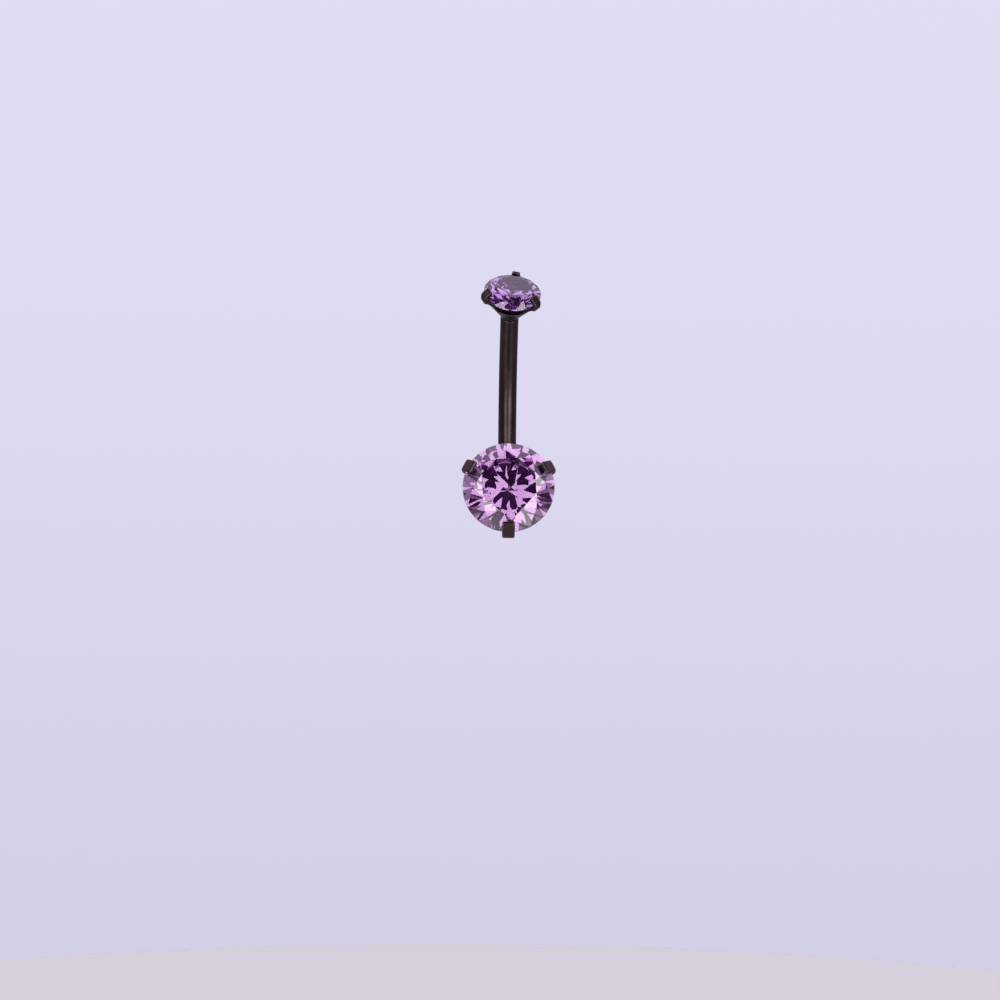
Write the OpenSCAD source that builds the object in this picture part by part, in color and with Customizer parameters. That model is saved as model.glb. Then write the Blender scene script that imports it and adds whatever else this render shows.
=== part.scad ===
// Navel ring: a curved bar with a claw-set round brilliant soldered to its lower
// end, and a smaller one in a head that screws into its top end.
// The origin is the rearmost point of the bar's centre line. +Z is up, the stones
// face -Y, and the bar bends in the plane X = 0. Lengths are in millimetres.
// Each head is drawn about its stone: the stone's axis is +Z, its girdle lies in
// the plane Z = 0, and angles about the axis start at the wearer's left, +X.

/* [Bar] */
// Diameter of the bar
bar_d = 1.6; // [1.4:0.1:2]
// Radius of the bend, to the middle of the bar
bend_r = 10; // [9:0.5:12]
// How far the bend sweeps up from its rearmost point, in degrees
top_sweep = 37; // [30:1:45]
// How far the bend sweeps down from its rearmost point, in degrees
low_sweep = 56; // [48:1:62]
// Straight run at the top end, which holds the socket
top_run = 2.55; // [2.2:0.05:4]

/* [Lower head] */
// Diameter of the lower stone
low_stone_d = 8; // [6:0.5:9]
// How far the lower stone looks up, in degrees
low_tilt = 19.5; // [10:0.5:30]
// Turn of the lower stone's facets about its axis, in degrees
low_stone_turn = 5; // [-22:1:22]
// Width of a lower claw
low_claw_w = 1.1; // [0.8:0.05:1.4]
// How far the bottom claw stands out, which is bent less tightly than the others
bottom_claw_t = 0.52; // [0.4:0.02:0.6]
// Metal from the bar's end to the tip of the lower stone
low_floor = 1.04; // [0.9:0.02:1.4]

/* [Top head] */
// Diameter of the top stone
top_stone_d = 5; // [4:0.5:6]
// Turn of the top stone's facets about its axis, in degrees
top_stone_turn = -17; // [-22:1:22]
// How far round its thread the top head stops, in degrees
top_head_turn = -7.5; // [-60:0.5:60]
// Width of a top claw
top_claw_w = 0.8; // [0.6:0.05:1]
// Width of the back claw, which is filed narrower than the others
back_claw_w = 0.7; // [0.55:0.05:1]
// How far the back claw stands out
back_claw_t = 0.32; // [0.32:0.02:0.5]
// Metal from the bar's end to the tip of the top stone
top_floor = 0.38; // [0.36:0.02:0.8]
// How far the top head leans to the wearer's left of its post, in degrees
top_lean = 4; // [-5:0.5:5]

/* [Claws and cups] */
// How far a claw stands out round the stone
claw_t = 0.4; // [0.32:0.02:0.5]
// How far an arm stands out from the stone's underside
arm_t = 0.3; // [0.22:0.01:0.34]
// How far a claw laps over the stone, as a share of the stone's radius
lap_share = 0.15; // [0.1:0.01:0.2]
// Depth of a cup's rim below the girdle, as a share of the underside's depth
rim_share = 0.48; // [0.4:0.02:0.6]
// Depth at which the cone under a cup ends, as a share of the same depth
cone_share = 0.35; // [0.25:0.05:0.4]
// Radius of the web between a cup's rim and an arm, as a share of the stone's radius
web_share = 0.2; // [0.1:0.02:0.3]
// How far the ball of solder at the lower end stands out from the bar
solder_t = 0.2; // [0.16:0.02:0.3]
// Radius of a claw's corners
corner_r = 0.2; // [0.1:0.02:0.28]
// Gap between a stone and the metal that holds it
stone_gap = 0.05; // [0.03:0.01:0.08]

/* [Cut of the stones] */
// Width of the table, as a share of the stone's diameter
table_share = 0.63; // [0.54:0.01:0.66]
// Height of the crown, as a share of the stone's diameter
crown_share = 0.12; // [0.1:0.005:0.16]
// Thickness of the girdle, as a share of the stone's diameter
girdle_share = 0.03; // [0.025:0.005:0.04]
// Depth of the pavilion, as a share of the stone's diameter
pavilion_share = 0.43; // [0.4:0.005:0.45]
// Length of the star facets, as a share of the way from table to girdle
star_share = 0.5; // [0.4:0.01:0.6]
// Length of the lower girdle facets, as a share of the way from girdle to centre
half_share = 0.77; // [0.7:0.01:0.84]

/* [Screw end] */
// Wall of the bar round the socket
socket_wall = 0.27; // [0.2:0.01:0.3]
// Running clearance between post and socket, all round
post_gap = 0.03; // [0.02:0.01:0.08]
// Straight bar left past the bottom of the socket
socket_end = 0.3; // [0.2:0.05:0.6]
// Gap between the post's tip and the bottom of the socket
post_end_gap = 0.2; // [0.1:0.05:0.4]
// Gap between the top head and the bar's end
seam_gap = 0.02; // [0.01:0.01:0.05]
// Bevel on the edges at the seam and on the post's tip
bevel = 0.05; // [0.03:0.01:0.1]
// Height of the top head's collar, which ends inside its cone
collar_h = 0.22; // [0.2:0.01:0.3]

/* [Hidden] */
$fn = 64;

METAL = [0.16, 0.13, 0.11];
STONE = [0.80, 0.60, 0.88];

// Angle, width and thickness of each claw
low_claws = [
    [27, low_claw_w, claw_t], [153, low_claw_w, claw_t], [270, low_claw_w, bottom_claw_t]
];
top_claws = [
    [90, back_claw_w, back_claw_t], [210, top_claw_w, claw_t], [330, top_claw_w, claw_t]
];

bar_r = bar_d / 2;
socket_r = bar_r - socket_wall;
post_r = socket_r - post_gap;
socket_depth = top_run - socket_end;
post_l = socket_depth - post_end_gap;
low_foot_r = bar_r + solder_t / 2;
top_foot_r = bar_r - bevel;
top_foot_lift = seam_gap + top_foot_r * sin(abs(top_lean));
arc_steps = 6;

// How far a claw curls under the girdle, in degrees, to end inside its arm
claw_tail = 115;

// A brilliant has 8 table corners; its girdle has this many flats under each half facet
sides = 8;
girdle_steps = 3;
step = 360 / sides;
ring_n = 2 * sides * girdle_steps;

// The bar's path. A height z goes up and a depth y goes back, both from the origin.
function bend(sweep) = [0, bend_r * (cos(sweep) - 1), bend_r * sin(sweep)];
function ahead(sweep) = [0, -sin(sweep), cos(sweep)];
top_end = bend(top_sweep) + top_run * ahead(top_sweep);
low_end = bend(-low_sweep);

// The stones' outline, for a stone of diameter d
function stone_r(d) = d / 2;
function half_girdle(d) = girdle_share * d / 2;
function table_z(d) = half_girdle(d) + crown_share * d;
function culet_z(d) = -half_girdle(d) - pavilion_share * d;
function table_r(d) = table_share * d / 2;
function table_edge(d) = table_r(d) * cos(step / 2);
function star_r(d) = table_edge(d) + star_share * (stone_r(d) - table_edge(d));
function bezel_z(d, r) =
    half_girdle(d) + crown_share * d * (stone_r(d) - r) / (stone_r(d) - table_r(d));
function star_z(d) = bezel_z(d, star_r(d) * cos(step / 2));
function half_r(d) = stone_r(d) * (1 - half_share);
function main_z(d, r) = culet_z(d) + pavilion_share * d * r / stone_r(d);
function half_z(d) = main_z(d, half_r(d) * cos(step / 2));
function pavilion_r(d, z) = stone_r(d) * (z - culet_z(d)) / (pavilion_share * d);
pavilion_angle = atan(2 * pavilion_share);

// The girdle's edges dip between the corners of the half facets
function dip(i) = cos((i % girdle_steps) * step / 2 / girdle_steps - step / 4) - cos(step / 4);
function upper_girdle_z(d, i) =
    half_girdle(d) - dip(i) * stone_r(d) * (star_z(d) - half_girdle(d))
    / (stone_r(d) - star_r(d)) / cos(step / 4);
function lower_girdle_z(d, i) =
    -half_girdle(d) + dip(i) * stone_r(d) * (-half_girdle(d) - half_z(d))
    / (stone_r(d) - half_r(d)) / cos(step / 4);

function polar(r, angle, z) = [r * cos(angle), r * sin(angle), z];
function arc(centre, r, from, to) = [
    for (i = [0:arc_steps])
        centre + r * [cos(from + (to - from) * i / arc_steps), sin(from + (to - from) * i / arc_steps)]
];

// Places of a stone's points in its list
function table_i(k) = k % sides;
function star_i(k) = sides + k % sides;
function upper_i(i) = 2 * sides + (i + ring_n) % ring_n;
function lower_i(i) = 2 * sides + ring_n + (i + ring_n) % ring_n;
function half_i(k) = 2 * sides + 2 * ring_n + k % sides;
culet_i = 3 * sides + 2 * ring_n;

function stone_points(d, turn) = [
    for (k = [0:sides - 1]) polar(table_r(d), turn + (k + 0.5) * step, table_z(d)),
    for (k = [0:sides - 1]) polar(star_r(d), turn + k * step, star_z(d)),
    for (i = [0:ring_n - 1]) polar(stone_r(d), turn + i * 360 / ring_n, upper_girdle_z(d, i)),
    for (i = [0:ring_n - 1]) polar(stone_r(d), turn + i * 360 / ring_n, lower_girdle_z(d, i)),
    for (k = [0:sides - 1]) polar(half_r(d), turn + k * step, half_z(d)),
    [0, 0, culet_z(d)]
];

// Table, stars, bezels, girdle, mains, then the half facets above and below the girdle
stone_faces = [
    [for (k = [sides - 1:-1:0]) table_i(k)],
    for (k = [0:sides - 1]) [table_i(k), star_i(k), table_i(k + sides - 1)],
    for (k = [0:sides - 1])
        [star_i(k + 1), upper_i((2 * k + 1) * girdle_steps), star_i(k), table_i(k)],
    for (i = [0:ring_n - 1]) [upper_i(i), upper_i(i + 1), lower_i(i + 1), lower_i(i)],
    for (k = [0:sides - 1])
        [culet_i, half_i(k), lower_i((2 * k + 1) * girdle_steps), half_i(k + 1)],
    for (k = [0:sides - 1], side = [-1, 0])
        [for (i = [girdle_steps:-1:0]) upper_i((2 * k + side) * girdle_steps + i), star_i(k)],
    for (k = [0:sides - 1], side = [-1, 0])
        [half_i(k), for (i = [0:girdle_steps]) lower_i((2 * k + side) * girdle_steps + i)]
];

module stone(d, turn) {
    polyhedron(stone_points(d, turn), stone_faces, convexity = 2);
}

// The outline that a stone sweeps, grown until it clears the pavilion by the gap
module seat(d) {
    grown = d * (1 - stone_gap / culet_z(d) / cos(pavilion_angle));
    rotate_extrude() polygon([
        [0, culet_z(grown)],
        [half_r(grown), half_z(grown)],
        [stone_r(grown), -half_girdle(grown)],
        [stone_r(grown), half_girdle(grown)],
        [star_r(grown), star_z(grown)],
        [table_r(grown), table_z(grown)],
        [0, table_z(grown)]
    ]);
}

// Cone and thin shell under a stone, as a solid that the seat is cut from
module shell(d, floor_t, foot_r) {
    foot = culet_z(d) - floor_t;
    cone_z = cone_share * culet_z(d);
    rotate_extrude() polygon(concat(
        [
            [0, foot],
            [foot_r, foot],
            [pavilion_r(d, cone_z) + arm_t / sin(pavilion_angle), cone_z]
        ],
        arc([stone_r(d), -half_girdle(d)], arm_t, pavilion_angle - 90, 0),
        [[stone_r(d) + arm_t, half_girdle(d)], [0, half_girdle(d)]]
    ));
}

// What the shell is kept in: all of it up to the rim, and above that the three arms
module arm_window(d, arm_w) {
    web_r = web_share * stone_r(d);
    rim = rim_share * culet_z(d);
    rotate([90, 0, 90]) linear_extrude(stone_r(d) + claw_t) polygon(concat(
        arc([arm_w / 2 + web_r, rim + web_r], web_r, 270, 180),
        [[arm_w / 2, half_girdle(d)], [-arm_w / 2, half_girdle(d)]],
        arc([-arm_w / 2 - web_r, rim + web_r], web_r, 0, -90),
        [[-arm_w / 2 - web_r, rim - web_r], [arm_w / 2 + web_r, rim - web_r]]
    ));
}

// A claw's side view: round the girdle, over the crown's edge, and a round tip
module claw_side(d, t) {
    crown_angle = atan((star_z(d) - half_girdle(d)) / (stone_r(d) - star_r(d)));
    lean = 90 - crown_angle;
    lap = lap_share * stone_r(d);
    tip = [stone_r(d) - lap, half_girdle(d) + lap * tan(crown_angle)];
    polygon(concat(
        arc([stone_r(d), -half_girdle(d)], t, -claw_tail, 0),
        arc([stone_r(d), half_girdle(d)], t, 0, lean),
        arc(tip + t / 2 * [cos(lean), sin(lean)], t / 2, lean, lean + 180)
    ));
}

// A plate from x = near to x = far with rounded corners
module rounded_plate(near, far, width) {
    translate([near, corner_r - width / 2]) square([far - near, width - 2 * corner_r]);
    translate([near + corner_r, -width / 2]) square([far - near - 2 * corner_r, width]);
    for (x = [near + corner_r, far - corner_r], side = [-1, 1])
        translate([x, side * (width / 2 - corner_r)]) circle(corner_r);
}

// The plate that the side view is cut from starts just inside the claw's round tip
module claw(d, w, t) {
    near = stone_r(d) * (1 - lap_share) - t / 4;
    depth = t + half_girdle(d);
    intersection() {
        rotate([90, 0, 0]) linear_extrude(w, center = true) claw_side(d, t);
        translate([0, 0, -depth]) linear_extrude(depth + table_z(d) + t)
            rounded_plate(near, stone_r(d) + t, w);
    }
}

module setting(d, arm_w, floor_t, claws, foot_r) {
    foot = culet_z(d) - floor_t;
    rim = rim_share * culet_z(d);
    difference() {
        union() {
            intersection() {
                shell(d, floor_t, foot_r);
                union() {
                    translate([0, 0, foot]) cylinder(r = stone_r(d), h = rim - foot);
                    for (c = claws) rotate([0, 0, c[0]]) arm_window(d, arm_w);
                }
            }
            for (c = claws) rotate([0, 0, c[0]]) claw(d, c[1], c[2]);
        }
        seat(d);
    }
}

module at_low_head() {
    translate(low_end) rotate([90 - low_tilt, 0, 0])
        translate([0, 0, low_floor - culet_z(low_stone_d)]) children();
}

module at_top_head() {
    translate(top_end) rotate([top_sweep, 0, 0]) rotate([0, top_lean, 0])
        translate([0, 0, top_floor - culet_z(top_stone_d)]) children();
}

// The straight run at the top end, and the bend that starts from its foot
module bar() {
    translate(bend(top_sweep)) rotate([top_sweep, 0, 0]) {
        rotate_extrude() polygon([
            [0, 0],
            [bar_r, 0],
            [bar_r, top_run - bevel],
            [bar_r - bevel, top_run],
            [0, top_run]
        ]);
        translate([0, -bend_r, 0]) rotate([-90, 0, 90])
            rotate_extrude(angle = top_sweep + low_sweep) translate([bend_r, 0]) circle(bar_r);
    }
}

module curved_bar() {
    color(METAL) difference() {
        union() {
            bar();
            translate(low_end) sphere(bar_r + solder_t);
            at_low_head() setting(low_stone_d, low_claw_w, low_floor, low_claws, low_foot_r);
        }
        translate(top_end) rotate([top_sweep, 0, 0])
            translate([0, 0, -socket_depth]) cylinder(r = socket_r, h = 2 * socket_depth);
    }
}

module lower_stone() {
    color(STONE) at_low_head() stone(low_stone_d, low_stone_turn);
}

// The post that goes down the socket, and the collar that stops against the bar
module collared_post() {
    rotate_extrude() polygon([
        [0, -post_l],
        [post_r - bevel, -post_l],
        [post_r, bevel - post_l],
        [post_r, seam_gap],
        [bar_r - bevel, seam_gap],
        [bar_r, seam_gap + bevel],
        [bar_r, collar_h],
        [0, collar_h]
    ]);
}

module top_setting() {
    color(METAL) {
        at_top_head() rotate([0, 0, top_head_turn]) setting(
            top_stone_d, top_claw_w, top_floor - top_foot_lift, top_claws, top_foot_r
        );
        translate(top_end) rotate([top_sweep, 0, 0]) collared_post();
    }
}

module top_stone() {
    color(STONE) at_top_head() stone(top_stone_d, top_stone_turn);
}

curved_bar();
lower_stone();
top_setting();
top_stone();
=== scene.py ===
"""The navel ring's looks: metal with rounded edges, clear purple stones, soft studio light."""

import math

import bpy
import numpy as np
from mathutils import Matrix, Vector


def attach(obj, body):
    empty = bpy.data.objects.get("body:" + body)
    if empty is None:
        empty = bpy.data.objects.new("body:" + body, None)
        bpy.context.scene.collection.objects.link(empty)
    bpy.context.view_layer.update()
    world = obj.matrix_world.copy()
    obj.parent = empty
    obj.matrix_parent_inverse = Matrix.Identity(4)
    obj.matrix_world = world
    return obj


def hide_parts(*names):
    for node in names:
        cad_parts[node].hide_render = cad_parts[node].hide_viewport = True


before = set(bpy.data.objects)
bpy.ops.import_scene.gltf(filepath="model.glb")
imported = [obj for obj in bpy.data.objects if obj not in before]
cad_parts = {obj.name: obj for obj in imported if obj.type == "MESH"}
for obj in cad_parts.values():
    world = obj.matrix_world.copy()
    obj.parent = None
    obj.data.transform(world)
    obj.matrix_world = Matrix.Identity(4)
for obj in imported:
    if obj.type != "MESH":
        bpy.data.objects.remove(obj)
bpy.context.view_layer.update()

MM = 0.001
scene = bpy.context.scene

# The bar as in the CAD, in mm: a bend in the plane X = 0, and a straight run above it
BEND_R = 10.0
BAR_R = 0.8
TOP_SWEEP = math.radians(37)
LOW_SWEEP = math.radians(56)
TOP_RUN = 2.55

# The camera, fitted to the photograph, in mm and degrees
AIM = (-0.658, -5.0, -8.041)
CAMERA_AZIMUTH = -1.188
CAMERA_ELEVATION = 3.0
CAMERA_ROLL = 0.756
CAMERA_DISTANCE = 380.0
LENS = 155.83
SENSOR = 36
# Nearest and farthest that it sees, in metres
CLIP = (0.01, 20)

# The metal: linear colours, noises in features a millimetre, and the bump's height in mm
COAT_DARK = (0.050, 0.038, 0.035)
COAT_LIGHT = (0.068, 0.053, 0.049)
# The outer edges' colour: partly bare steel where the coating is worn, partly a painted highlight
COAT_WORN_AND_HIGHLIGHT = (0.13, 0.12, 0.11)
COAT_ROUGHNESS = (0.26, 0.33)
CLOUDS_A_MM = 0.7
CLOUD_RANGE = (0.35, 0.65)
GRAINS_A_MM = 14
GRAIN_RANGE = (0.3, 0.7)
GRAIN_STRETCH = (1, 1, 0.2)
NOISE_DETAIL = 3
BUMP_STRENGTH = 0.05
BUMP_HEIGHT = 0.001

# The stones: their index of refraction, and each one's material, colour and absorption a metre
STONE_IOR = 2.16
STONES = {
    "lower_stone": ("purple_stone", (0.39, 0.05, 0.44), 190),
    "top_stone": ("deeper_purple_stone", (0.36, 0.06, 0.50), 350),
}

# The metal's shape, in mm. The edge depths are how far an edge stands out of the smoothed shape, where
# the lighter edge colour, partly wear and partly painted highlight, starts and where it is full
SAME_POINT = 0.0005
VOXEL = 0.045
SMOOTHING_ROUNDS = 6
WEAR_AND_HIGHLIGHT_ROUNDS = 12
WEAR_AND_HIGHLIGHT_DEPTH = (0.009, 0.021)
BAR_TOLERANCE = 0.03
MOST_TRIANGLES = 150000
WEAR_AND_HIGHLIGHT_NAME = "wear_and_highlight"

# The studio's colours by height, from 0 straight down to 1 straight up: what the camera sees behind
# the ring, and what lights the ring
BACKDROP = [
    (0.40, (0.62, 0.595, 0.76)),
    (0.50, (0.74, 0.71, 0.89)),
    (0.60, (0.78, 0.75, 0.92)),
]
WALLS = [
    (0.00, (0.36, 0.28, 0.38)),
    (0.50, (0.27, 0.20, 0.28)),
    (0.67, (0.42, 0.31, 0.46)),
    (0.80, (0.92, 0.76, 1.00)),
]
# The viewer's side of the studio is dark: the azimuth and elevation of its middle, and what is left
# of the walls' light, from 0 opposite that middle to 1 in it
DARK_SIDE = (0, 30)
DARKENING = [
    (0.65, (1, 1, 1)),
    (0.74, (0.24, 0.12, 0.25)),
    (0.90, (0.085, 0.032, 0.105)),
]
# The studio's middle and its round floor, in mm; FLOOR_BACK is how far it reaches behind the ring
STUDIO_MIDDLE = (0, -5, 0)
FLOOR_R = 88
FLOOR_THICK = 8
FLOOR_TOP = -49.4
FLOOR_BACK = 9.3
FLOOR_EDGE = 1
FLOOR_EDGE_STEPS = 4
FLOOR_SIDES = 256
FLOOR_COLOR = (0.87, 0.95, 0.87)
FLOOR_ROUGHNESS = 0.6
FLOOR_GLOW = (0.80, 0.78, 0.84)
FLOOR_GLOW_STRENGTH = 0.07


def direction(azimuth, elevation):
    """The unit vector from the ring towards a place in the studio; azimuth 0 is the viewer's side."""
    a, e = math.radians(azimuth), math.radians(elevation)
    return Vector((math.sin(a) * math.cos(e), -math.cos(a) * math.cos(e), math.sin(e)))


def make_camera():
    away = direction(CAMERA_AZIMUTH, CAMERA_ELEVATION)
    right = (-away).cross(Vector((0, 0, 1))).normalized()
    up = right.cross(-away)
    roll = math.radians(CAMERA_ROLL)
    right, up = (
        math.cos(roll) * right + math.sin(roll) * up,
        -math.sin(roll) * right + math.cos(roll) * up,
    )
    place = (Vector(AIM) + CAMERA_DISTANCE * away) * MM
    data = bpy.data.cameras.new("camera")
    data.lens = LENS
    data.sensor_width = SENSOR
    data.clip_start, data.clip_end = CLIP
    camera = bpy.data.objects.new("camera", data)
    turn = Matrix((right, up, away)).transposed().to_4x4()
    camera.matrix_world = Matrix.Translation(place) @ turn
    scene.collection.objects.link(camera)
    scene.camera = camera


# Nodes
def add(tree, kind, inputs=None, **settings):
    """A new node. Each input is a number, a vector, a colour or another node's output."""
    node = tree.nodes.new("ShaderNode" + kind)
    for key, value in settings.items():
        setattr(node, key, value)
    for key, value in (inputs or {}).items():
        socket = node.inputs[key]
        if isinstance(value, bpy.types.NodeSocket):
            tree.links.new(value, socket)
        elif socket.type == "RGBA":
            socket.default_value = (*value, 1)
        else:
            socket.default_value = value
    return node


def noise_at(tree, where, features_a_mm, stretch=(1, 1, 1)):
    """A noise over the piece, from 0 to 1."""
    place = add(tree, "Mapping", {"Vector": where, "Scale": stretch}).outputs["Vector"]
    inputs = {"Vector": place, "Scale": features_a_mm / MM, "Detail": NOISE_DETAIL}
    return add(tree, "TexNoise", inputs).outputs["Fac"]


def ranged(tree, value, old, new):
    """The value, moved from the old range to the new one and kept inside it."""
    inputs = {
        "Value": value,
        "From Min": old[0],
        "From Max": old[1],
        "To Min": new[0],
        "To Max": new[1],
    }
    return add(tree, "MapRange", inputs).outputs["Result"]


def mixed(tree, share, a, b, blend="MIX"):
    """Two colours mixed by a share; each may be another node's output."""
    inputs = {"Factor": share, "A": a, "B": b}
    return add(tree, "Mix", inputs, data_type="RGBA", blend_type=blend).outputs["Result"]


def ramp(tree, value, stops):
    """The colour that goes with the value, between stops of a value and a colour."""
    node = add(tree, "ValToRGB", {"Fac": value})
    items = node.color_ramp.elements
    items[0].position = stops[0][0]
    items[-1].position = stops[-1][0]
    for position, _ in stops[1:-1]:
        items.new(position)
    for item, (_, color) in zip(items, stops):
        item.color = (*color, 1)
    return node.outputs["Color"]


def facing(tree, where, way):
    """How far a direction turns towards this way: 0 is straight away from it, 1 is along it."""
    dot = add(tree, "VectorMath", {0: where, 1: way}, operation="DOT_PRODUCT")
    return ranged(tree, dot.outputs["Value"], (-1, 1), (0, 1))


# Materials
def new_material(name):
    material = bpy.data.materials.new(name)
    material.use_nodes = True
    material.node_tree.nodes.clear()
    return material, material.node_tree


def make_metal():
    """Polished steel under a thin brown-black coating, painted lighter along its outer edges: partly worn
    coating, partly a painted highlight.
    """
    material, tree = new_material("black_metal")
    where = add(tree, "TexCoord").outputs["Object"]
    cloud = noise_at(tree, where, CLOUDS_A_MM)
    grain = noise_at(tree, where, GRAINS_A_MM, GRAIN_STRETCH)
    coat = mixed(tree, ranged(tree, cloud, CLOUD_RANGE, (0, 1)), COAT_DARK, COAT_LIGHT)
    # Lighter outer edges: partly worn coating, partly a painted highlight
    worn_and_highlight = add(tree, "Attribute", attribute_name=WEAR_AND_HIGHLIGHT_NAME).outputs["Fac"]
    relief = {"Strength": BUMP_STRENGTH, "Distance": BUMP_HEIGHT * MM, "Height": grain}
    finish = {
        "Base Color": mixed(tree, worn_and_highlight, coat, COAT_WORN_AND_HIGHLIGHT),
        "Metallic": 1.0,
        "Roughness": ranged(tree, grain, GRAIN_RANGE, COAT_ROUGHNESS),
        "Normal": add(tree, "Bump", relief).outputs["Normal"],
    }
    shader = add(tree, "BsdfPrincipled", finish)
    add(tree, "OutputMaterial", {"Surface": shader.outputs["BSDF"]})
    return material


def make_stone(name, color, density):
    """Clear polished stone that takes its colour from the depth of the light's path in it."""
    material, tree = new_material(name)
    finish = {
        "Base Color": (1, 1, 1),
        "Transmission Weight": 1.0,
        "Roughness": 0.0,
        "IOR": STONE_IOR,
    }
    shader = add(tree, "BsdfPrincipled", finish)
    volume = add(tree, "VolumeAbsorption", {"Color": color, "Density": density})
    ends = {"Surface": shader.outputs["BSDF"], "Volume": volume.outputs["Volume"]}
    add(tree, "OutputMaterial", ends)
    return material


def make_floor_material():
    """Matt pale paint with a faint glow of its own."""
    material, tree = new_material("floor")
    finish = {
        "Base Color": FLOOR_COLOR,
        "Roughness": FLOOR_ROUGHNESS,
        "Specular IOR Level": 0.0,
        "Emission Color": FLOOR_GLOW,
        "Emission Strength": FLOOR_GLOW_STRENGTH,
    }
    shader = add(tree, "BsdfPrincipled", finish)
    add(tree, "OutputMaterial", {"Surface": shader.outputs["BSDF"]})
    return material


def give(piece, material):
    piece.data.materials.clear()
    piece.data.materials.append(material)


# Metal with rounded edges
def new_piece(name, mesh, scale=1.0):
    """A new object with this mesh, scaled, in the scene."""
    mesh.transform(Matrix.Scale(scale, 4))
    piece = bpy.data.objects.new(name, mesh)
    scene.collection.objects.link(piece)
    return piece


def applied(piece, kind, **settings):
    """The mesh that the piece has with one modifier on it; the piece is removed."""
    modifier = piece.modifiers.new(kind, kind)
    for key, value in settings.items():
        setattr(modifier, key, value)
    seen = piece.evaluated_get(bpy.context.evaluated_depsgraph_get())
    mesh = bpy.data.meshes.new_from_object(seen)
    bpy.data.objects.remove(piece)
    return mesh


def vectors(mesh, key):
    """The places or the normals of the mesh's points, one a row."""
    flat = np.empty(len(mesh.vertices) * 3)
    mesh.vertices.foreach_get(key, flat)
    return flat.reshape(-1, 3)


def place_points(mesh, co):
    mesh.vertices.foreach_set("co", co.ravel())
    mesh.update()


def smoothed(co, mesh, rounds):
    """Each point moves half way to the mean of its neighbours, so many times."""
    ends = np.empty(len(mesh.edges) * 2, int)
    mesh.edges.foreach_get("vertices", ends)
    a, b = ends.reshape(-1, 2).T
    points, neighbours = np.r_[a, b], np.r_[b, a]
    count = np.bincount(points, minlength=len(co))[:, None]
    for _ in range(rounds):
        sums = [np.bincount(points, column[neighbours], len(co)) for column in co.T]
        co = (co + np.stack(sums, axis=1) / count) / 2
    return co


def wear_and_highlight(co, mesh):
    """How much of the lighter edge colour, partly wear and partly painted highlight, each point gets: 1
    on sharp outer edges, 0 on smooth surfaces.
    """
    out = co - smoothed(co, mesh, WEAR_AND_HIGHLIGHT_ROUNDS)
    depth = (out * vectors(mesh, "normal")).sum(axis=1)
    start, full = WEAR_AND_HIGHLIGHT_DEPTH
    return np.clip((depth - start) / (full - start), 0, 1)


def bend(sweep):
    """The bend's centre line at one angle or more."""
    return np.stack([0 * sweep, BEND_R * (np.cos(sweep) - 1), BEND_R * np.sin(sweep)], axis=-1)


def nearest_on_bar(co):
    """For each point, the nearest point of the bar's centre line, and whether it is beside it."""
    angle = np.arctan2(co[:, 2], co[:, 1] + BEND_R)
    turn = np.clip(angle, -LOW_SWEEP, TOP_SWEEP)
    near = bend(turn)
    ahead = np.array([0, -math.sin(TOP_SWEEP), math.cos(TOP_SWEEP)])
    foot = bend(TOP_SWEEP)
    along = (co - foot) @ ahead
    straight = along > 0
    near[straight] = foot + along[straight, None] * ahead
    beside = (angle > -LOW_SWEEP) & (along < TOP_RUN)
    return near, beside


def trued(co):
    """The points, with those on the bar's side exactly on the round bar."""
    near, beside = nearest_on_bar(co)
    out = co - near
    far = np.linalg.norm(out, axis=1)
    on_side = beside & (np.abs(far - BAR_R) < BAR_TOLERANCE)
    co[on_side] = near[on_side] + out[on_side] / far[on_side, None] * BAR_R
    return co


def rounded_copy(node, name, bar=False):
    """The node's shape with its edges rounded, which stands for the node; bar keeps a bar round."""
    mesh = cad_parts[node].data.copy()
    mesh = applied(new_piece(name, mesh, 1 / MM), "WELD", merge_threshold=SAME_POINT)
    mesh = applied(new_piece(name, mesh), "REMESH", mode="VOXEL", voxel_size=VOXEL)
    co = smoothed(vectors(mesh, "co"), mesh, SMOOTHING_ROUNDS)
    place_points(mesh, co)
    # Where the edges take the lighter colour, partly wear and partly painted highlight
    worn_and_highlight = mesh.attributes.new(WEAR_AND_HIGHLIGHT_NAME, "FLOAT", "POINT")
    worn_and_highlight.data.foreach_set("value", wear_and_highlight(co, mesh))
    if bar:
        place_points(mesh, trued(co))
    ratio = min(1, MOST_TRIANGLES / (2 * len(mesh.polygons)))
    mesh = applied(new_piece(name, mesh), "DECIMATE", ratio=ratio)
    mesh.shade_smooth()
    piece = new_piece(name, mesh, MM)
    give(piece, METAL)
    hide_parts(node)
    return piece


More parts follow.
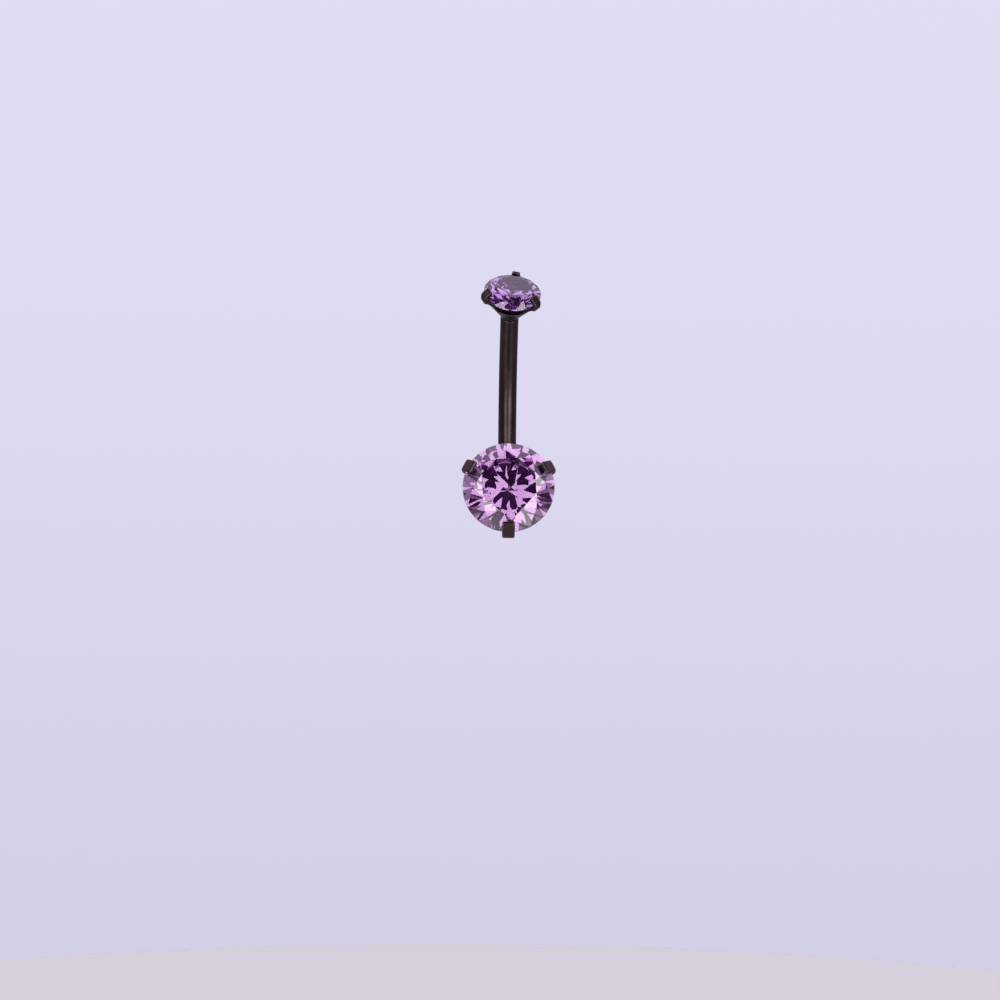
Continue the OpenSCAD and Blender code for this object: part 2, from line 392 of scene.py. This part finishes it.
# Studio
def make_world():
    """A pale backdrop for the camera; for the ring a pale ceiling, dim walls and a dark front."""
    world = bpy.data.worlds.new("studio")
    scene.world = world
    world.use_nodes = True
    tree = world.node_tree
    tree.nodes.clear()
    where = add(tree, "TexCoord").outputs["Generated"]
    height = facing(tree, where, (0, 0, 1))
    share = ramp(tree, facing(tree, where, direction(*DARK_SIDE)), DARKENING)
    lights_ring = mixed(tree, 1, ramp(tree, height, WALLS), share, "MULTIPLY")
    seen = add(tree, "LightPath").outputs["Is Camera Ray"]
    color = mixed(tree, seen, lights_ring, ramp(tree, height, BACKDROP))
    background = add(tree, "Background", {"Color": color})
    add(tree, "OutputWorld", {"Surface": background.outputs["Background"]})


def make_light(name, azimuth, elevation, distance, width, height, radiance, on_floor=True):
    """A lamp that faces the studio's middle, placed in degrees and mm, and equally bright at any size."""
    data = bpy.data.lights.new(name, "AREA")
    data.shape = "RECTANGLE"
    data.size = width * MM
    data.size_y = height * MM
    data.energy = radiance * math.pi * data.size * data.size_y
    lamp = bpy.data.objects.new(name, data)
    away = direction(azimuth, elevation)
    lamp.location = (Vector(STUDIO_MIDDLE) + away * distance) * MM
    lamp.rotation_euler = away.to_track_quat("Z", "Y").to_euler()
    lamp.visible_camera = False
    lamp.visible_diffuse = on_floor
    scene.collection.objects.link(lamp)


def make_floor():
    bpy.ops.mesh.primitive_cylinder_add(
        vertices=FLOOR_SIDES,
        radius=FLOOR_R * MM,
        depth=FLOOR_THICK * MM,
        location=(0, (FLOOR_BACK - FLOOR_R) * MM, (FLOOR_TOP - FLOOR_THICK / 2) * MM),
    )
    floor = bpy.context.object
    floor.name = "floor"
    bevel = floor.modifiers.new("bevel", "BEVEL")
    bevel.width = FLOOR_EDGE * MM
    bevel.segments = FLOOR_EDGE_STEPS
    give(floor, make_floor_material())


make_camera()

METAL = make_metal()
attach(rounded_copy("curved_bar", "bar_and_lower_setting", bar=True), "bar")
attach(rounded_copy("top_setting", "screw_on_setting"), "top_head")

# The stones are the CAD nodes themselves
for node_name, stone in STONES.items():
    give(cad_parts[node_name], make_stone(*stone))

make_world()
make_light("softbox_left", -24, 14, distance=500, width=260, height=660, radiance=2.5)
make_light("softbox_right", 28, 8, distance=500, width=320, height=600, radiance=2.8)
# The card is for the lower stone's facets, and leaves no patch on the floor
make_light(
    "white_card", 33, -23, distance=110, width=26, height=20, radiance=1.1, on_floor=False
)
make_floor()

# Light goes through many facets before it leaves a stone
scene.cycles.max_bounces = 32
scene.cycles.glossy_bounces = 24
scene.cycles.transmission_bounces = 24
scene.view_settings.view_transform = "Standard"
